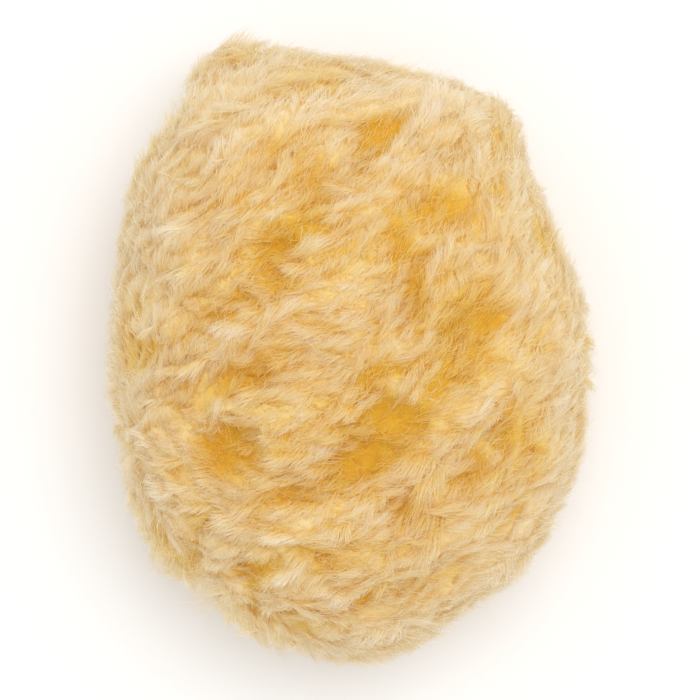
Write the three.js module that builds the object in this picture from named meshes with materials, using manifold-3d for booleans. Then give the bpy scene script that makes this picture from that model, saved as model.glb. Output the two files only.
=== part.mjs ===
// A natural sea sponge of the fine wool kind, cleaned and bleached, as sold for the bath.
// It grew in one piece, so it is one solid: a rounded, slightly pear-shaped mass whose widest
// girth lies a little under half its height, drawn in below that to the flat face where it was
// cut from its rock. The solid's skin lies where the fibre tips end. Shallow hollows between the
// tufts and a low, lumpy swell are part of the solid; the fibres themselves are not.
//
// Millimetres, +Z up. The origin is the middle of the bounding box on the cut face,
// +Y runs along the longest dimension and +X across it.

import * as THREE from "three";
import { mergeVertices } from "three/addons/utils/BufferGeometryUtils.js";
import Module from "manifold-3d";

// ---------------------------------------------------------------- driving dimensions (mm)
const LENGTH = 126.4; // Y, the longest dimension, tip to tip
const WIDTH = 98.8; // X
const HEIGHT = 71.0; // Z, from the cut face to the crown
const GIRTH_Z = 29.0; // height of the widest section above the cut face
const UNDERSIDE_DEPTH = 39.5; // how deep the underside would reach if it had not been cut
const CROWN_FULLNESS = 2.25; // superellipse power of the upper half, 2 is an ellipse
const LUMP_HEIGHT = 1.5; // broad swell of the skin
const LUMP_PITCH = 27.0;
const TUFT_HEIGHT = 0.75; // swell of the single tufts
const TUFT_PITCH = 8.5;
const DETAIL = 19; // subdivisions of the sphere that carries the skin

// Radius of the girth in mm, every 5 degrees anticlockwise from +X.
const GIRTH = [
  49.2, 48.6, 48.9, 48.7, 48.4, 48.4, 48.9, 49.6, 50.8, 52.0, 54.8, 57.6,
  58.6, 57.8, 58.0, 57.8, 58.3, 58.6, 58.9, 59.6, 61.8, 63.4, 66.2, 65.0,
  62.6, 59.0, 57.6, 57.4, 56.4, 54.4, 52.2, 50.6, 49.3, 49.0, 47.8, 48.0,
  48.2, 48.6, 48.2, 48.3, 49.5, 49.8, 52.0, 53.0, 55.0, 56.6, 58.2, 57.6,
  56.8, 59.2, 60.9, 61.2, 61.2, 62.4, 62.6, 62.4, 61.9, 60.6, 59.2, 58.0,
  57.8, 57.2, 56.0, 55.2, 54.2, 53.2, 52.6, 51.6, 51.2, 50.4, 49.6, 49.3,
];

// Hollows between the tufts of the upper face: [x, y, half length, half width, turn in degrees, depth].
const HOLLOWS = [
  [-23.8, -19.8, 7.4, 5.0, -14, 4.0],
  [1.6, -21.8, 6.4, 4.4, 24, 3.8],
  [-20.5, -5.6, 9.5, 3.6, 24, 2.6],
  [7.6, -12.6, 5.0, 4.4, -30, 3.6],
  [-14.6, 17.6, 5.0, 4.0, 50, 2.8],
  [18.4, 26.8, 8.4, 5.2, -4, 3.4],
  [10.0, -30.2, 5.4, 4.0, 15, 3.0],
  [12.2, 10.6, 10.5, 3.5, 88, 2.6],
  [-6.8, 31.0, 4.8, 4.2, 40, 2.4],
  [9.2, 22.2, 6.2, 4.0, 84, 3.0],
  [-11.6, -27.4, 9.0, 3.6, 6, 2.2],
  [23.4, -23.2, 5.0, 4.0, 60, 2.4],
  [28.6, 4.8, 10.5, 3.4, 1, 1.8],
  [-14.4, 37.6, 4.8, 3.8, 60, 1.8],
  [6.8, 42.6, 7.0, 4.0, 4, 1.6],
  [-38.6, 9.8, 4.4, 3.6, 10, 1.5],
  [-33.8, -23.0, 4.8, 3.4, -8, 1.8],
  [-19.6, -42.4, 5.8, 3.6, 12, 1.5],
  [15.6, -47.6, 11.0, 4.0, 27, 1.2],
  [30.6, -15.4, 6.0, 3.4, 88, 1.5],
];

// ---------------------------------------------------------------- helpers
// A repeatable number between -1 and 1 for a lattice point.
function lattice(i, j, k) {
  let h = (i * 374761393 + j * 668265263 + k * 2147483647 + 974711) | 0;
  h = Math.imul(h ^ (h >>> 13), 1274126177);
  h = Math.imul(h ^ (h >>> 16), 2246822519);
  return ((h ^ (h >>> 15)) >>> 0) / 2147483647.5 - 1;
}

// Smooth noise between about -1 and 1.
function swell(p, pitch, seed) {
  const x = p.x / pitch + seed * 7.31,
    y = p.y / pitch - seed * 3.17,
    z = p.z / pitch + seed * 11.7;
  const i = Math.floor(x),
    j = Math.floor(y),
    k = Math.floor(z);
  const ease = (t) => t * t * t * (t * (t * 6 - 15) + 10);
  const u = ease(x - i),
    v = ease(y - j),
    w = ease(z - k);
  const mix = THREE.MathUtils.lerp;
  const row = (b, c) => mix(lattice(i, b, c), lattice(i + 1, b, c), u);
  return mix(
    mix(row(j, k), row(j + 1, k), v),
    mix(row(j, k + 1), row(j + 1, k + 1), v),
    w,
  );
}

// The girth's radius at an angle, as a closed Catmull-Rom curve through GIRTH.
function girthRadius(angle) {
  const n = GIRTH.length,
    at = ((angle / (2 * Math.PI)) * n + 4 * n) % n,
    i = Math.floor(at),
    t = at - i;
  const [a, b, c, d] = [-1, 0, 1, 2].map((o) => GIRTH[(i + o + n) % n]);
  return (
    b +
    0.5 * t * (c - a + t * (2 * a - 5 * b + 4 * c - d + t * (3 * (b - c) + d - a)))
  );
}

// Away from the girth the outline loses its small nicks.
function meanRadius(angle) {
  let sum = 0;
  for (let i = -4; i <= 4; i++) sum += girthRadius(angle + (i * Math.PI) / 45);
  return sum / 9;
}

function hollowDepth(x, y) {
  let depth = 0;
  for (const [cx, cy, a, b, turn, d] of HOLLOWS) {
    const c = Math.cos((turn * Math.PI) / 180),
      s = Math.sin((turn * Math.PI) / 180);
    const u = ((x - cx) * c + (y - cy) * s) / a,
      v = (-(x - cx) * s + (y - cy) * c) / b;
    depth = Math.max(depth, d * Math.exp(-((u * u + v * v) ** 1.15)));
  }
  return depth;
}

// The skin's point in the direction of a unit vector.
function skin(dir) {
  const turn = Math.atan2(dir.y, dir.x),
    rise = Math.asin(THREE.MathUtils.clamp(dir.z, -1, 1));
  const near = Math.exp(-((rise / 0.28) ** 2));
  const radius = THREE.MathUtils.lerp(meanRadius(turn), girthRadius(turn), near);
  const power = 2 / (dir.z > 0 ? CROWN_FULLNESS : 2);
  const out = radius * Math.cos(rise) ** power,
    up =
      Math.sign(dir.z) *
      Math.abs(Math.sin(rise)) ** power *
      (dir.z > 0 ? HEIGHT - GIRTH_Z : UNDERSIDE_DEPTH);
  const p = new THREE.Vector3(
    out * Math.cos(turn),
    out * Math.sin(turn),
    GIRTH_Z + up,
  );
  const away = new THREE.Vector3(
    p.x / radius,
    p.y / radius,
    up / (dir.z > 0 ? HEIGHT - GIRTH_Z : UNDERSIDE_DEPTH),
  ).normalize();
  const broad =
      swell(p, LUMP_PITCH, 1) + 0.5 * swell(p, LUMP_PITCH * 0.55, 2),
    small = swell(p, TUFT_PITCH, 3);
  const free = 1 - 0.6 * near; // the girth's own outline already holds its lumps
  p.addScaledVector(away, LUMP_HEIGHT * broad * free + TUFT_HEIGHT * small * free);
  if (dir.z > 0)
    p.addScaledVector(
      away,
      -hollowDepth(p.x, p.y) * THREE.MathUtils.smoothstep(dir.z, 0.05, 0.3),
    );
  return p;
}

// ---------------------------------------------------------------- the sponge
function uncutSponge() {
  const ball = new THREE.IcosahedronGeometry(1, DETAIL);
  ball.deleteAttribute("normal");
  ball.deleteAttribute("uv");
  const geometry = mergeVertices(ball, 1e-5);
  const at = geometry.getAttribute("position");
  const v = new THREE.Vector3();
  for (let i = 0; i < at.count; i++) {
    v.fromBufferAttribute(at, i).normalize();
    const p = skin(v);
    at.setXYZ(i, p.x, p.y, p.z);
  }
  return geometry;
}

function asSolid(wasm, geometry) {
  const g = geometry.index ? geometry : mergeVertices(geometry);
  return new wasm.Manifold(
    new wasm.Mesh({
      numProp: 3,
      vertProperties: new Float32Array(g.getAttribute("position").array),
      triVerts: new Uint32Array(g.index.array),
    }),
  );
}

function asGeometry(solid) {
  const mesh = solid.getMesh();
  return new THREE.BufferGeometry()
    .setAttribute(
      "position",
      new THREE.BufferAttribute(new Float32Array(mesh.vertProperties), 3),
    )
    .setIndex(new THREE.BufferAttribute(new Uint32Array(mesh.triVerts), 1));
}

const wasm = await Module();
wasm.setup();

// Everything under the cut is taken off with one block.
const block = new THREE.BoxGeometry(3 * WIDTH, 3 * LENGTH, 2 * HEIGHT);
block.translate(0, 0, -HEIGHT);
block.deleteAttribute("normal");
block.deleteAttribute("uv");
const cut = asSolid(wasm, uncutSponge()).subtract(
  asSolid(wasm, mergeVertices(block)),
);

// The lumps move the extremes a little, so the result is set to its stated size and centred on its
// bounding box, with the cut face at zero.
const geometry = asGeometry(cut);
geometry.computeBoundingBox();
const { min, max } = geometry.boundingBox;
geometry.translate(-(min.x + max.x) / 2, -(min.y + max.y) / 2, -min.z);
geometry.scale(
  WIDTH / (max.x - min.x),
  LENGTH / (max.y - min.y),
  HEIGHT / (max.z - min.z),
);
geometry.computeVertexNormals();

const sponge = new THREE.Mesh(
  geometry,
  new THREE.MeshStandardMaterial({
    name: "bleached sponge",
    color: new THREE.Color(0.89, 0.74, 0.5),
    roughness: 1,
    metalness: 0,
  }),
);
sponge.name = "sea_sponge";

const part = new THREE.Group();
part.name = "natural_sea_sponge";
part.add(sponge);

export default part;
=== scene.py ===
import math

import bpy
import numpy as np
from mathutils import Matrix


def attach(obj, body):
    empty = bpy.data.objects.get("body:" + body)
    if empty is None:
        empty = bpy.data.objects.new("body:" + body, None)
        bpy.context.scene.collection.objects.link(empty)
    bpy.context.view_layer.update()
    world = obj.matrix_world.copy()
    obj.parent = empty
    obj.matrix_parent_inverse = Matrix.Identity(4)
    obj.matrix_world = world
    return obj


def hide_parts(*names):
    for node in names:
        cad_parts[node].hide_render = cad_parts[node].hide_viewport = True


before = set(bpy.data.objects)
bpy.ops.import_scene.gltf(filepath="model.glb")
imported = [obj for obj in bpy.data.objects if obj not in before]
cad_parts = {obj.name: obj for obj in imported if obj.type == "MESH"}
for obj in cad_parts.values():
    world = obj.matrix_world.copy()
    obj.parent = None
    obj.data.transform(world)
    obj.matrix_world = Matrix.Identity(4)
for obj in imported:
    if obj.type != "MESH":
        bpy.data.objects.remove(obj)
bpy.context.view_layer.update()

NODE = "sea_sponge"
MM = 0.001

# --------------------------------------------------------------------------- numbers, in millimetres
GIRTH_Z = 29.0  # height of the widest section
BODY_DEPTH = 3.3  # the matted body lies about this far under the skin
RIM_LIFT = 0.5  # and this much nearer to it round the girth
COMB_SPACING = 3.3
STRAND_WIDTH = 0.12
FUZZ_WIDTH = 0.10


# --------------------------------------------------------------------------- small tools
def unit(v):
    return v / np.maximum(np.linalg.norm(v, axis=-1, keepdims=True), 1e-9)


def dot(a, b):
    return (a * b).sum(-1, keepdims=True)


def smoothstep(x, lo, hi):
    t = np.clip((x - lo) / (hi - lo), 0, 1)
    return t * t * (3 - 2 * t)


def lattice(i, j, k, seed):
    h = (
        i.astype(np.uint64) * np.uint64(0x9E3779B1)
        ^ j.astype(np.uint64) * np.uint64(0x85EBCA77)
        ^ k.astype(np.uint64) * np.uint64(0xC2B2AE3D)
        ^ np.uint64(seed * 7919 + 13)
    )
    h ^= h >> np.uint64(29)
    h *= np.uint64(0xBF58476D1CE4E5B9)
    h ^= h >> np.uint64(32)
    h *= np.uint64(0x94D049BB133111EB)
    h ^= h >> np.uint64(29)
    return (h & np.uint64(0xFFFFFF)).astype(np.float64) / 0x7FFFFF - 1.0


def noise(p, pitch, seed=0):
    """Smooth noise between about -1 and 1, for points p (n, 3) in millimetres."""
    q = np.asarray(p, float) / pitch + np.array([37.7, 91.3, 53.9]) + seed * 3.17
    i = np.floor(q).astype(np.int64)
    f = q - i
    f = f * f * f * (f * (f * 6 - 15) + 10)
    i = i + 4096
    out = 0.0
    with np.errstate(over="ignore"):
        for dx in (0, 1):
            for dy in (0, 1):
                for dz in (0, 1):
                    w = (
                        (f[:, 0] if dx else 1 - f[:, 0])
                        * (f[:, 1] if dy else 1 - f[:, 1])
                        * (f[:, 2] if dz else 1 - f[:, 2])
                    )
                    out = out + w * lattice(i[:, 0] + dx, i[:, 1] + dy, i[:, 2] + dz, seed)
    return out


def vector_noise(p, pitch, seed=0):
    return np.stack([noise(p, pitch, seed + 101 * a) for a in range(3)], -1)


def turn(v, axis, angle):
    """Rows of v turned about rows of axis."""
    c, s = np.cos(angle)[:, None], np.sin(angle)[:, None]
    return v * c + np.cross(axis, v) * s + axis * dot(axis, v) * (1 - c)


# --------------------------------------------------------------------------- the skin, from the CAD node
def read_skin():
    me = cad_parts[NODE].data
    co = np.empty(len(me.vertices) * 3)
    me.vertices.foreach_get("co", co)
    me.calc_loop_triangles()
    tri = np.empty(len(me.loop_triangles) * 3, np.int32)
    me.loop_triangles.foreach_get("vertices", tri)
    co, tri = co.reshape(-1, 3) / MM, tri.reshape(-1, 3)
    key, index = np.unique(np.round(co, 3), axis=0, return_inverse=True)
    tri = index.reshape(-1)[tri]
    tri = tri[(tri[:, 0] != tri[:, 1]) & (tri[:, 1] != tri[:, 2]) & (tri[:, 0] != tri[:, 2])]
    return key, tri


SKIN, TRI = read_skin()
FACE = np.cross(SKIN[TRI[:, 1]] - SKIN[TRI[:, 0]], SKIN[TRI[:, 2]] - SKIN[TRI[:, 0]])
AREA = 0.5 * np.linalg.norm(FACE, axis=1)
FLAT = (SKIN[TRI][:, :, 2] < 0.05).all(1)  # the cut face's triangles


def skin_normals():
    """Vertex normals of the uncut part of the skin, smoothed over a few millimetres."""
    n = np.zeros_like(SKIN)
    for c in range(3):
        np.add.at(n, TRI[~FLAT][:, c], FACE[~FLAT])
    n = unit(n)
    edges = np.concatenate([TRI[:, [0, 1]], TRI[:, [1, 2]], TRI[:, [2, 0]]])
    edges = edges[(np.abs(n[edges[:, 0]]).sum(1) > 0) & (np.abs(n[edges[:, 1]]).sum(1) > 0)]
    for _ in range(6):
        m = n.copy()
        np.add.at(m, edges[:, 0], n[edges[:, 1]])
        np.add.at(m, edges[:, 1], n[edges[:, 0]])
        n = unit(m)
    return n


NORMAL = skin_normals()


def scatter(count, gen, faces=None):
    """count points spread evenly over the uncut skin, and the skin's smooth normals there."""
    pick = np.flatnonzero(~FLAT if faces is None else faces)
    share = np.cumsum(AREA[pick])
    f = pick[np.searchsorted(share, gen.random(count) * share[-1])]
    a, b = gen.random((2, count))
    low = a + b > 1
    a[low], b[low] = 1 - a[low], 1 - b[low]
    w = np.stack([1 - a - b, a, b], 1)[:, :, None]
    return (SKIN[TRI[f]] * w).sum(1), unit((NORMAL[TRI[f]] * w).sum(1))


def spaced(p, radius, gen):
    """Indexes of points kept so that none is nearer than its radius to one kept before it."""
    cell, kept, grid = float(radius.max()), [], {}
    keys = np.floor(p / cell).astype(int)
    for i in range(len(p)):
        x, y, z = keys[i]
        r = radius[i]
        near = [
            j
            for dx in (-1, 0, 1)
            for dy in (-1, 0, 1)
            for dz in (-1, 0, 1)
            for j in grid.get((x + dx, y + dy, z + dz), ())
        ]
        if near and (((p[near] - p[i]) ** 2).sum(1) < r * r).any():
            continue
        kept.append(i)
        grid.setdefault((x, y, z), []).append(i)
    return np.array(kept)


# --------------------------------------------------------------------------- how the coat lies
# Hollows between the tufts of the upper face, the solid's own: x, y, half length, half width, turn in degrees, depth.
HOLLOWS = np.array([
    [-23.8, -19.8, 7.4, 5.0, -14, 4.0],
    [1.6, -21.8, 6.4, 4.4, 24, 3.8],
    [-20.5, -5.6, 9.5, 3.6, 24, 2.6],
    [7.6, -12.6, 5.0, 4.4, -30, 3.6],
    [-14.6, 17.6, 5.0, 4.0, 50, 2.8],
    [18.4, 26.8, 8.4, 5.2, -4, 3.4],
    [10.0, -30.2, 5.4, 4.0, 15, 3.0],
    [12.2, 10.6, 10.5, 3.5, 88, 2.6],
    [-6.8, 31.0, 4.8, 4.2, 40, 2.4],
    [9.2, 22.2, 6.2, 4.0, 84, 3.0],
    [-11.6, -27.4, 9.0, 3.6, 6, 2.2],
    [23.4, -23.2, 5.0, 4.0, 60, 2.4],
    [28.6, 4.8, 10.5, 3.4, 1, 1.8],
    [-14.4, 37.6, 4.8, 3.8, 60, 1.8],
    [6.8, 42.6, 7.0, 4.0, 4, 1.6],
    [-38.6, 9.8, 4.4, 3.6, 10, 1.5],
    [-33.8, -23.0, 4.8, 3.4, -8, 1.8],
    [-19.6, -42.4, 5.8, 3.6, 12, 1.5],
    [15.6, -47.6, 11.0, 4.0, 27, 1.2],
    [30.6, -15.4, 6.0, 3.4, 88, 1.5],
])


def solid_hollows(p):
    """Up to 1 in the hollows that the solid has, whatever the height."""
    out = np.zeros(len(p))
    for x, y, length, width, angle, depth in HOLLOWS:
        c, s = math.cos(math.radians(angle)), math.sin(math.radians(angle))
        u = ((p[:, 0] - x) * c + (p[:, 1] - y) * s) / (length - 1.1)
        v = (-(p[:, 0] - x) * s + (p[:, 1] - y) * c) / (1.4 * width - 2.85)
        out = np.maximum(out, (0.20 + 0.20 * depth) * np.exp(-((u * u + v * v) ** 1.6)))
    return out


def place_tufts(count=30, apart=8.5):
    """The palest tufts stand on the crown, apart from each other and clear of the hollows: x, y."""
    gen = np.random.default_rng(5)
    p, n = scatter(2500, gen)
    p = p[(n[:, 2] > 0.72) & (solid_hollows(p) < 0.12)]
    return p[spaced(p, np.full(len(p), apart), gen)][:count, :2]


TUFTS = place_tufts()


def tuft(p):
    """Up to 1 on the palest tufts, which stand raised and are painted paler as a highlight."""
    out = np.zeros(len(p))
    for x, y in TUFTS:
        a = math.radians(38 + 17 * x / 50)
        u = ((p[:, 0] - x) * math.cos(a) + (p[:, 1] - y) * math.sin(a)) / 3.8
        v = (-(p[:, 0] - x) * math.sin(a) + (p[:, 1] - y) * math.cos(a)) / 2.0
        out = np.maximum(out, np.exp(-(u * u + v * v)))
    return out * smoothstep(p[:, 2], 30.0, 42.0)


def ridges(p):
    """The coat's long low ridges, which run from the lower left to the upper right: about -1 to 1."""
    c, s = math.cos(math.radians(24)), math.sin(math.radians(24))
    bend = 3.0 * vector_noise(p, 19.0, 71)
    q = p + bend
    q = np.stack([(q[:, 0] * c + q[:, 1] * s) / 3.0, -q[:, 0] * s + q[:, 1] * c, q[:, 2]], -1)
    return 0.95 * noise(q, 7.0, 72) + 0.25 * noise(p, 4.4, 73) + 0.80 * tuft(p)


def hollow(p, n):
    """0 on the open coat, up to 1 in the middle of a hollow. The sides and back have their own, from noise."""
    out = solid_hollows(p)
    top = smoothstep(n[:, 2], 0.25, 0.55)
    valley = smoothstep(-ridges(p), 0.02, 0.60)
    return np.clip(0.84 * out * top * (1 - 0.5 * tuft(p)) + valley * (0.50 - 0.18 * (1 - top)), 0, 1)


def coat_depth(p, n):
    """How far the matted body lies under the skin at points of the skin: little under ridges, more under hollows."""
    rim = RIM_LIFT * np.exp(-(((p[:, 2] - GIRTH_Z) / 15.0) ** 4))
    d = (
        BODY_DEPTH
        - 0.85 * ridges(p)
        - 0.45 * noise(p, 3.3, 32)
        - 0.30 * noise(p, 1.8, 33)
        + 1.5 * hollow(p, n)
        - rim * smoothstep(1 - n[:, 2], 0.35, 0.80)
    )
    return np.clip(d, 1.0, 7.0) * (0.45 + 0.55 * smoothstep(p[:, 2], 0.5, 8.0))


def painted_rim_and_top_light(p, n):
    """Painted light: the flanks are painted paler as if lit round the rim from behind, and the crown's far end paler as
    if nearer the key light; 0 on top, up to 1 on the sides, least under the girth, and less in the valleys of the
    flanks, which keep some painted shade.
    """
    side = smoothstep(1 - n[:, 2], 0.0, 0.47) * (0.62 + 0.38 * smoothstep(p[:, 2], 14.0, 34.0))
    side = side * (1 - 0.40 * smoothstep(-ridges(p), 0.10, 0.60))
    return side + (1 - side) * 0.35 * smoothstep(p[:, 1], 24.0, 50.0)


def lie(p, n):
    """The way the coat is combed at each point, a unit vector in the skin."""
    x, y = p[:, 0] / 50.0, p[:, 1] / 62.0
    # Combed from the lower left to the upper right, steeper towards the right and flatter to the left.
    angle = 44 + 17 * x + 3 * y + 9 * x * np.abs(x) + 26 * noise(p, 19.0, 11) + 14 * noise(p, 8.0, 12)
    a = np.radians(angle)
    flow = np.stack([np.cos(a), np.sin(a), np.zeros(len(p))], -1)
    flow[:, 2] -= 0.32 * (1 - np.clip(n[:, 2], 0, 1)) ** 1.5
    flow += 0.95 * vector_noise(p, 9.0, 21) * (1 - np.clip(n[:, 2:3], 0, 1))
    return unit(flow - n * dot(flow, n))


# --------------------------------------------------------------------------- meshes of strands
def ribbon_object(name, paths, side, width, u, v, material):
    """One mesh of narrow strips that end in a point. paths (n, k, 3) in mm, side (n, k, 3), width and u (n, k), v (n,)."""
    n, k, _ = paths.shape
    half = 0.5 * width[:, :, None] * side
    co = np.stack([paths - half, paths + half], 2)  # n, k, 2, 3
    co[:, -1, 0] = paths[:, -1]
    co = co.reshape(n, 2 * k, 3)[:, :-1]
    co[..., 2] = np.maximum(co[..., 2], 0.12)
    # Colour runs along u from the root's gold, painted shade deep in the coat, to the tip's cream, and along v from
    # strand to strand.
    uv = np.empty((n, k, 2, 2))
    uv[..., 0] = np.clip(u, 0.004, 0.996)[:, :, None]
    uv[..., 0, 1] = np.clip(v, 0.01, 0.99)[:, None] - 0.004
    uv[..., 1, 1] = np.clip(v, 0.01, 0.99)[:, None] + 0.004
    uv[:, -1, :, 1] = np.clip(v, 0.01, 0.99)[:, None]
    uv = uv.reshape(n, 2 * k, 2)[:, :-1]
    j = np.arange(k - 2)
    quads = np.stack([2 * j, 2 * j + 1, 2 * j + 3, 2 * j + 2], -1).reshape(-1)
    one = np.concatenate([quads, [2 * k - 4, 2 * k - 3, 2 * k - 2]])  # the corners of one strand's faces
    corner = (np.arange(n)[:, None] * (2 * k - 1) + one[None]).reshape(-1)
    start = np.concatenate([4 * j, [4 * (k - 2)]])
    start = (np.arange(n)[:, None] * len(one) + start[None]).reshape(-1)
    me = bpy.data.meshes.new(name)
    me.vertices.add(n * (2 * k - 1))
    me.vertices.foreach_set("co", (co.reshape(-1) * MM).astype(np.float32))
    me.loops.add(len(corner))
    me.loops.foreach_set("vertex_index", corner.astype(np.int32))
    me.polygons.add(len(start))
    me.polygons.foreach_set("loop_start", start.astype(np.int32))
    me.update(calc_edges=True)
    me.uv_layers.new(name="OFBake").data.foreach_set(
        "uv", uv.reshape(-1, 2)[corner].reshape(-1).astype(np.float32)
    )
    me.polygons.foreach_set("use_smooth", np.ones(len(start), bool))
    me.materials.append(material)
    ob = bpy.data.objects.new(name, me)
    bpy.context.scene.collection.objects.link(ob)
    return ob


def grow(root, n, t, length, lean0, lean1, power, yaw, curl, gen, k=6):
    """Strands from root, rising along n and bending over towards t. Returns paths (m, k, 3) and tangents."""
    m = len(root)
    b = np.cross(n, t)
    t = unit(t * np.cos(yaw)[:, None] + b * np.sin(yaw)[:, None])
    b = np.cross(n, t)
    s = (np.arange(k - 1) + 0.5) / (k - 1)
    a = lean0[:, None] + (lean1 - lean0)[:, None] * s[None] ** power
    phase, freq = gen.random(m) * 2 * np.pi, 0.6 + 0.9 * gen.random(m)
    sway = curl[:, None] * np.sin(phase[:, None] + 2 * np.pi * freq[:, None] * s[None])
    d = (
        n[:, None] * np.cos(a)[:, :, None]
        + t[:, None] * np.sin(a)[:, :, None]
        + b[:, None] * sway[:, :, None]
    )
    d = unit(d)
    step = (length / (k - 1))[:, None, None] * d
    path = np.concatenate([root[:, None], root[:, None] + np.cumsum(step, 1)], 1)
    tangent = np.concatenate([d[:, :1], 0.5 * (d[:, :-1] + d[:, 1:]), d[:, -1:]], 1)
    return path, unit(tangent)


# --------------------------------------------------------------------------- materials
def ramp(nt, stops, where, interpolation="EASE"):
    node = nt.nodes.new("ShaderNodeValToRGB")
    node.location = where
    e = node.color_ramp.elements
    node.color_ramp.interpolation = interpolation
    while len(e) < len(stops):
        e.new(0.5)
    for el, (pos, colour) in zip(e, stops):
        el.position = pos
        el.color = (*colour, 1)
    return node


# Painted shade: the gold deep in the coat stands in for the shade of its depths, and the cream of the tips also carries
# the painted light of the flanks.
PILE_COLOURS = [  # from the gold deep in the coat to the cream of its tips
    (0.00, (0.89, 0.665, 0.065)),
    (0.30, (0.95, 0.79, 0.28)),
    (0.60, (0.965, 0.875, 0.60)),
    (1.00, (0.975, 0.95, 0.91)),
]


# The body's colours, from the deep gold of the painted shade in the hollows to the pale of the painted light on high
# ground and flanks.
MATTED_COLOURS = [
    (0.00, (0.69, 0.40, 0.033)),
    (0.28, (0.77, 0.53, 0.120)),
    (0.60, (0.79, 0.60, 0.26)),
    (1.00, (0.83, 0.69, 0.45)),
]


def strand_material(name, through=0.6):
    mat = bpy.data.materials.new(name)
    mat.use_nodes = True
    nt = mat.node_tree
    nt.nodes.clear()
    uv = nt.nodes.new("ShaderNodeUVMap")
    uv.uv_map = "OFBake"
    split = nt.nodes.new("ShaderNodeSeparateXYZ")
    nt.links.new(uv.outputs["UV"], split.inputs[0])
    along = ramp(nt, PILE_COLOURS, (0, 0), "LINEAR")
    nt.links.new(split.outputs["X"], along.inputs["Fac"])
    tone = ramp(nt, [
        (0.00, (0.94, 0.90, 0.78)),
        (0.45, (0.98, 0.97, 0.94)),
        (1.00, (1.0, 1.0, 1.0)),
    ], (0, -200), "LINEAR")
    nt.links.new(split.outputs["Y"], tone.inputs["Fac"])
    mix = nt.nodes.new("ShaderNodeMix")
    mix.data_type, mix.blend_type = "RGBA", "MULTIPLY"
    mix.inputs["Factor"].default_value = 1.0
    nt.links.new(along.outputs["Color"], mix.inputs["A"])
    nt.links.new(tone.outputs["Color"], mix.inputs["B"])
    p = nt.nodes.new("ShaderNodeBsdfPrincipled")
    p.inputs["Roughness"].default_value = 0.8
    p.inputs["Specular IOR Level"].default_value = 0.25
    nt.links.new(mix.outputs["Result"], p.inputs["Base Color"])
    back = nt.nodes.new("ShaderNodeBsdfTranslucent")
    nt.links.new(mix.outputs["Result"], back.inputs["Color"])
    both = nt.nodes.new("ShaderNodeMixShader")
    both.inputs[0].default_value = through
    nt.links.new(p.outputs[0], both.inputs[1])
    nt.links.new(back.outputs[0], both.inputs[2])
    out = nt.nodes.new("ShaderNodeOutputMaterial")
    nt.links.new(both.outputs[0], out.inputs["Surface"])
    return mat


def body_material():
    mat = bpy.data.materials.new("matted_spongin")
    mat.use_nodes = True
    nt = mat.node_tree
    p = nt.nodes["Principled BSDF"]
    # The body's colour comes from an attribute that holds painted light and shade.
    tone_and_painted_shading = nt.nodes.new("ShaderNodeAttribute")
    tone_and_painted_shading.attribute_name = "tone_and_painted_shading"
    col = ramp(nt, MATTED_COLOURS, (0, 0), "LINEAR")
    nt.links.new(tone_and_painted_shading.outputs["Fac"], col.inputs["Fac"])
    nt.links.new(col.outputs["Color"], p.inputs["Base Color"])
    tc = nt.nodes.new("ShaderNodeTexCoord")
    fine = nt.nodes.new("ShaderNodeTexNoise")
    fine.inputs["Scale"].default_value = 1300
    fine.inputs["Detail"].default_value = 4
    nt.links.new(tc.outputs["Object"], fine.inputs["Vector"])
    bump = nt.nodes.new("ShaderNodeBump")
    bump.inputs["Strength"].default_value = 0.5
    bump.inputs["Distance"].default_value = 0.0003
    nt.links.new(fine.outputs["Fac"], bump.inputs["Height"])
    nt.links.new(bump.outputs["Normal"], p.inputs["Normal"])
    p.inputs["Roughness"].default_value = 0.9
    p.inputs["Specular IOR Level"].default_value = 0.2
    return mat


FIBRE = strand_material("spongin_fibre")
MATTED = body_material()
pieces = []


# --------------------------------------------------------------------------- the matted body
def body_map(me, co, nr):
    """The body's own map: what faces up is laid out from above on the left, what faces down on the right."""
    first = np.empty(len(me.polygons), np.int32)
    count = np.empty(len(me.polygons), np.int32)
    me.polygons.foreach_get("loop_start", first)
    me.polygons.foreach_get("loop_total", count)
    vertex = np.empty(len(me.loops), np.int32)
    me.loops.foreach_get("vertex_index", vertex)
    face = np.repeat(np.arange(len(first)), count)
    up = (np.add.reduceat(nr[vertex, 2], first) / count > 0)[face]
    # Distance from the middle grows with the tilt of the surface, so that the steep sides keep their room.
    tilt = np.arccos(np.clip(np.where(up, nr[vertex, 2], -nr[vertex, 2]), -1, 1))
    flat = np.linalg.norm(co[vertex, :2] / np.array([49.0, 63.0]), axis=1)
    r = 0.10 + 0.55 * flat + 0.26 * np.clip(tilt, 0, 1.9) / 1.9
    r = np.where(flat < 0.05, r * flat / 0.05, r)
    way = unit(co[vertex, :2] / np.array([49.0, 63.0]) + 1e-9)
    uv = way * (r * 0.245)[:, None] * np.array([1.0, 2.0]) + np.stack([np.where(up, 0.25, 0.75), np.full(len(r), 0.5)], 1)
    me.uv_layers.new(name="OFBake").data.foreach_set("uv", np.clip(uv, 0.002, 0.998).reshape(-1).astype(np.float32))


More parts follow.
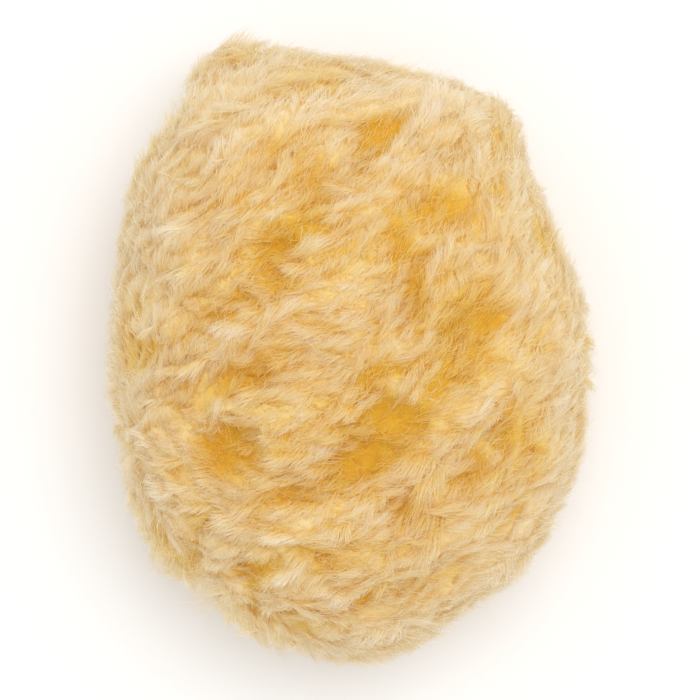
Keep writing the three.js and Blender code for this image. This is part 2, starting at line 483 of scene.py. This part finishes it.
def make_body():
    me = bpy.data.meshes.new("sponge_body")
    me.from_pydata((SKIN * MM).tolist(), [], TRI.tolist())
    ob = bpy.data.objects.new("sponge_body", me)
    bpy.context.scene.collection.objects.link(ob)
    mod = ob.modifiers.new("remesh", "REMESH")
    mod.mode, mod.voxel_size = "VOXEL", 0.00079
    bpy.context.view_layer.update()
    got = bpy.data.meshes.new_from_object(ob.evaluated_get(bpy.context.evaluated_depsgraph_get()))
    ob.modifiers.clear()
    ob.data = got
    bpy.data.meshes.remove(me)
    got.name = "sponge_body"
    nv = len(got.vertices)
    co = np.empty(nv * 3)
    got.vertices.foreach_get("co", co)
    co = co.reshape(-1, 3) / MM
    nr = np.empty(nv * 3, np.float32)
    got.vertex_normals.foreach_get("vector", nr)
    nr = nr.reshape(-1, 3).astype(float)
    edges = np.empty(len(got.edges) * 2, np.int32)
    got.edges.foreach_get("vertices", edges)
    edges = edges.reshape(-1, 2)
    flat = (co[:, 2] < 0.6) & (nr[:, 2] < -0.5)
    for _ in range(10):
        m = nr.copy()
        np.add.at(m, edges[:, 0], nr[edges[:, 1]])
        np.add.at(m, edges[:, 1], nr[edges[:, 0]])
        nr = unit(m)
    away = nr.copy()
    away[:, 2] = np.where(co[:, 2] < 6, np.maximum(away[:, 2], 0), away[:, 2])
    new = co - unit(away + 1e-6) * coat_depth(co, nr)[:, None]
    h = hollow(co, nr)
    # Painted light and shade that follow the relief: the body is painted paler where it stands high and deep gold in
    # the hollows, and paler on the flanks and the far end.
    tone_and_painted_shading = 0.44 + 0.26 * ridges(co) + 0.08 * noise(co, 3.3, 32) + 0.08 * noise(co, 1.8, 33) - 0.75 * h + 0.48 * painted_rim_and_top_light(co, nr)
    # The cut face: flat, with the mouths of the canals that run up into the sponge.
    new[flat, :2] = co[flat, :2] * 0.965
    gen = np.random.default_rng(77)
    mouths, _ = scatter(900, gen, FLAT)
    size = 0.7 + 2.6 * gen.random(900) ** 3
    keep = spaced(mouths, size * 1.5 + 1.2, gen)
    lift = np.zeros(nv)
    for c, r in zip(mouths[keep], size[keep]):
        d = np.linalg.norm(new[:, :2] - c[:2], axis=1) / r
        lift = np.maximum(lift, np.where(d < 1.6, (2.2 + 1.6 * r) * np.exp(-(d**4)), 0))
    # No mouth opens through the edge of the cut face.
    inside = flat.astype(float)
    ties = 1 + np.bincount(edges.reshape(-1), minlength=nv)
    for _ in range(16):
        m = inside + np.bincount(edges[:, 0], inside[edges[:, 1]], nv) + np.bincount(edges[:, 1], inside[edges[:, 0]], nv)
        inside = m / ties
    lift *= smoothstep(inside, 0.80, 0.98)
    new[flat, 2] = (lift + 0.25 * np.abs(noise(co, 1.6, 41)) + 0.2 * np.abs(noise(co, 4.0, 42)))[flat]
    new[:, 2] = np.maximum(new[:, 2], 0.0)
    # On the cut face: a random tone, with the canal mouths painted deeper gold as painted shade.
    tone_and_painted_shading[flat] = (0.62 + 0.10 * noise(co, 2.0, 43) - 0.16 * lift)[flat]
    body_map(got, co, nr)
    got.attributes.new("tone_and_painted_shading", "FLOAT", "POINT").data.foreach_set("value", np.clip(tone_and_painted_shading, 0.02, 0.98).astype(np.float32))
    got.vertices.foreach_set("co", (new.reshape(-1) * MM).astype(np.float32))
    got.update()
    got.polygons.foreach_set("use_smooth", np.ones(len(got.polygons), bool))
    got.materials.clear()
    got.materials.append(MATTED)
    pieces.append(ob)


make_body()


# --------------------------------------------------------------------------- the combs of tufts
def make_combs(pieces_wanted=4, strands=125500):
    """The coat is rows of fine strands: each row rises from a short line, bends over and hangs as a fringe of teeth."""
    gen = np.random.default_rng(11)
    p, n = scatter(40000, gen)
    h = hollow(p, n)
    size = 1 + 0.28 * noise(p, 12.0, 51)
    keep = spaced(p, COMB_SPACING * size * (1 + 0.45 * h), gen)
    p, n, h, size = p[keep], n[keep], h[keep], size[keep]
    m = len(p)
    t = lie(p, n)
    t = turn(t, n, np.radians(gen.normal(0, 16, m)))
    back = gen.random(m) < 0.35
    line = turn(t, n, np.radians(gen.normal(-32, 14, m)))
    t[back] *= -1
    wide = (2.8 + 5.8 * gen.random(m) ** 1.4) * size
    long = (5.4 + 1.1 * gen.normal(0, 1, m).clip(-1.6, 2.0)) * (0.7 + 0.35 * size)
    lean0 = np.radians(22 + 22 * gen.random(m))
    lean1 = np.radians(74 + 30 * gen.random(m))
    bump = noise(p, 3.6, 55)
    # Painted highlight: the raised tufts are painted paler, over each row's random tone.
    tone = np.clip(0.62 + 0.09 * gen.normal(0, 1, m) + 0.25 * tuft(p), 0.05, 0.98)
    # Painted light and shade: the crests of the ridges are painted paler and their troughs deeper gold.
    painted_crest_shading = ridges(p)
    # The flanks are smoother than the crown, except where the lower left rim is ragged.
    smooth = smoothstep(1 - n[:, 2], 0.12, 0.50)
    ragged = np.exp(-(((np.degrees(np.arctan2(p[:, 1], p[:, 0])) % 360 - 238) / 26) ** 4)) * smoothstep(1 - n[:, 2], 0.45, 0.85)
    ragged = ragged * smoothstep(p[:, 2], 10, 18)
    long = long * (1 - 0.22 * smooth) * (1 + 0.95 * ragged * bump.clip(-0.5, 0.7))
    lean1 = lean1 - np.radians(30) * ragged
    wide = wide * (1 - 0.55 * ragged)
    count = np.maximum(8, np.round(strands * wide / wide.sum())).astype(int)
    which = np.repeat(np.arange(m), count)
    N = len(which)
    across = (gen.random(N) - 0.5) * wide[which]
    # Teeth: strands that draw together towards their tips.
    pitch = 0.34 + 0.30 * gen.random(m)
    tooth = np.floor(across / pitch[which] + 50).astype(int)
    _, tooth_id = np.unique(which * 128 + tooth, return_inverse=True)
    T = tooth_id.max() + 1
    centre = (tooth - 50 + 0.5) * pitch[which]
    shift = gen.normal(0, 0.12, T)[tooth_id]
    nn, tt, ll = n[which], t[which], line[which]
    end = 1 - 0.40 * np.abs(across / wide[which] * 2) ** 3
    length = long[which] * (0.84 + 0.30 * gen.random(T)[tooth_id]) * (0.88 + 0.20 * gen.random(N)) * end
    root = p[which] + ll * across[:, None] + tt * (0.40 * gen.normal(0, 1, N) - 0.36 * long[which])[:, None]
    root -= nn * (coat_depth(root, nn) + 0.25 * gen.random(N))[:, None]
    yaw = across / wide[which] * np.radians(18) + np.radians(5.0 * gen.normal(0, 1, T)[tooth_id] + 8.0 * gen.normal(0, 1, N))
    a0 = lean0[which] + np.radians(gen.normal(0, 4, N))
    a1 = lean1[which] + np.radians(7 * gen.normal(0, 1, T)[tooth_id] + gen.normal(0, 9, N))
    curl = 0.08 + 0.22 * gen.random(N)
    path, tangent = grow(root, nn, tt, length, a0, a1, 0.9, yaw, curl, gen, k=4)
    s = np.linspace(0, 1, path.shape[1])
    draw = (centre + shift - across) * (0.38 - 0.22 * smooth[which])
    path = path + ll[:, None] * (draw[:, None] * s[None] ** 1.6)[:, :, None]
    flatp = path.reshape(-1, 3)
    wave = vector_noise(flatp, 4.2, 61) + 0.35 * vector_noise(flatp, 1.6, 62)
    path = path + wave.reshape(path.shape) * (0.65 * s**1.2)[None, :, None]
    deep = hollow(path.reshape(-1, 3), np.repeat(nn, len(s), 0)).reshape(N, -1)
    path = path - nn[:, None] * (1.0 * deep * s[None])[:, :, None]
    chance = 0.7 + 0.6 * gen.random(N)
    kept = (deep[:, :2].max(1) * chance < 0.66) & (deep[:, 2] * chance < 0.92)
    roll = np.radians(gen.normal(0, 18, N))
    side = unit(np.cross(tangent, nn[:, None] + 0 * tangent))
    up = np.cross(side, tangent)
    side = side * np.cos(roll)[:, None, None] + up * np.sin(roll)[:, None, None]
    width = STRAND_WIDTH * (0.75 + 0.5 * gen.random(N))[:, None] * (1.0 - 0.45 * s**2)[None]
    # Painted shade and light along each strand: gold at the root deep in the coat, cream at the tip, deeper gold down
    # in the hollows, and paler on the flanks and far end.
    u = 0.09 + 0.84 * s[None] * (0.80 + 0.20 * gen.random(N))[:, None] + 0.20 * tuft(p)[which][:, None]
    u = u + 0.09 * painted_crest_shading[which][:, None]
    u = u * (1 - 0.80 * deep)
    u = u + (1 - u) * (0.70 * painted_rim_and_top_light(p, n)[which])[:, None]
    v = np.clip(tone[which] + 0.08 * gen.normal(0, 1, N) + 0.08 * painted_crest_shading[which], 0.02, 0.98)
    order = gen.permutation(np.flatnonzero(kept))
    for c in range(pieces_wanted):
        i = np.sort(order[c::pieces_wanted])
        pieces.append(ribbon_object(f"tufts_{'abcde'[c]}", path[i], side[i], width[i], u[i], v[i], FIBRE))


make_combs()


# --------------------------------------------------------------------------- the short undercoat and the loose fuzz
def make_undercoat(N=33000):
    gen = np.random.default_rng(23)
    p, n = scatter(int(1.4 * N), gen)
    h = hollow(p, n)
    keep = np.flatnonzero(h * (0.6 + 0.8 * gen.random(len(p))) < 0.92)[:N]
    p, n, h = p[keep], n[keep], h[keep]
    N = len(p)
    t = turn(lie(p, n), n, gen.normal(0, 0.45, N))
    root = p - n * (coat_depth(p, n) + 0.15)[:, None]
    length = (2.4 + 2.0 * gen.random(N)) * (1 - 0.25 * h)
    a0, a1 = np.radians(25 + 35 * gen.random(N)), np.radians(65 + 35 * gen.random(N))
    path, tangent = grow(root, n, t, length, a0, a1, 1.0, np.zeros(N), 0.1 + 0.25 * gen.random(N), gen, k=4)
    s = np.linspace(0, 1, 4)
    side = unit(np.cross(tangent, n[:, None] + 0 * tangent))
    width = 0.20 * (0.8 + 0.4 * gen.random(N))[:, None] * (1.0 - 0.5 * s**2)[None]
    # Painted shade and light: gold at the root, deeper gold in the hollows, paler on the flanks and far end.
    u = (0.20 + 0.60 * s[None] * (0.6 + 0.5 * gen.random(N))[:, None]) * (1 - 0.80 * h)[:, None]
    u = u + (1 - u) * (0.60 * painted_rim_and_top_light(p, n))[:, None]
    v = np.clip(0.62 + 0.12 * gen.normal(0, 1, N), 0.02, 0.98)
    pieces.append(ribbon_object("undercoat", path, side, width, u, v, FIBRE))


def make_fuzz(N=11000):
    gen = np.random.default_rng(37)
    p, n = scatter(N, gen)
    t = turn(lie(p, n), n, gen.normal(0, 0.6, N))
    root = p - n * (1.6 + 1.6 * gen.random(N))[:, None]
    length = 2.0 + 2.4 * gen.random(N)
    a0, a1 = np.radians(15 + 45 * gen.random(N)), np.radians(40 + 60 * gen.random(N))
    path, tangent = grow(root, n, t, length, a0, a1, 1.0, np.zeros(N), 0.15 + 0.25 * gen.random(N), gen, k=4)
    s = np.linspace(0, 1, 4)
    side = unit(np.cross(tangent, unit(gen.normal(0, 1, (N, 3)))[:, None] + 0 * tangent))
    width = FUZZ_WIDTH * (0.8 + 0.5 * gen.random(N))[:, None] * (1.0 - 0.55 * s**2)[None]
    # Painted shade: the fuzz is painted deeper gold over the hollows.
    u = (0.55 + 0.35 * s[None]) * (1 - 0.7 * hollow(p, n))[:, None] + 0 * width
    v = np.clip(0.60 + 0.2 * gen.normal(0, 1, N), 0.02, 0.98)
    pieces.append(ribbon_object("fuzz", path, side, width, u, v, FIBRE))


make_undercoat()
make_fuzz()

for ob in pieces:
    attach(ob, "root")
    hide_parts(NODE)

# --------------------------------------------------------------------------- floor, light and camera
floor_me = bpy.data.meshes.new("floor")
S = 1.6
floor_me.from_pydata([(-S, -S, 0), (S, -S, 0), (S, S, 0), (-S, S, 0)], [], [(0, 1, 2, 3)])
floor = bpy.data.objects.new("floor", floor_me)
bpy.context.scene.collection.objects.link(floor)
fm = bpy.data.materials.new("floor_white")
fm.use_nodes = True
fm.node_tree.nodes["Principled BSDF"].inputs["Base Color"].default_value = (0.93, 0.93, 0.93, 1)
fm.node_tree.nodes["Principled BSDF"].inputs["Roughness"].default_value = 0.9
fm.node_tree.nodes["Principled BSDF"].inputs["Specular IOR Level"].default_value = 0.1
floor_me.materials.append(fm)

world = bpy.data.worlds.new("studio")
bpy.context.scene.world = world
world.use_nodes = True
world.node_tree.nodes["Background"].inputs["Color"].default_value = (1, 1, 1, 1)
world.node_tree.nodes["Background"].inputs["Strength"].default_value = 0.845


def area(name, where, at, size, watts):
    d = bpy.data.lights.new(name, "AREA")
    d.shape, d.size, d.energy = "DISK", size, watts
    o = bpy.data.objects.new(name, d)
    bpy.context.scene.collection.objects.link(o)
    o.location = where
    from mathutils import Vector
    o.rotation_euler = (Vector(at) - Vector(where)).to_track_quat("-Z", "Y").to_euler()
    return o


area("key", (0.11, 0.16, 0.85), (0, 0, 0.03), 0.5, 2.65)

scene = bpy.context.scene
cam_data = bpy.data.cameras.new("camera")
cam = bpy.data.objects.new("camera", cam_data)
scene.collection.objects.link(cam)
cam_data.sensor_width = 36
cam_data.lens = 135
distance = 0.1400 * 135 / 36  # the frame is 140 mm wide at the girth
cam.location = (0, 0, GIRTH_Z * MM + distance)
cam.rotation_euler = (0, 0, 0)
scene.camera = cam
scene.view_settings.view_transform = "Standard"
scene.cycles.max_bounces = 24
scene.cycles.diffuse_bounces = 16
scene.cycles.transmission_bounces = 12
scene.cycles.glossy_bounces = 2
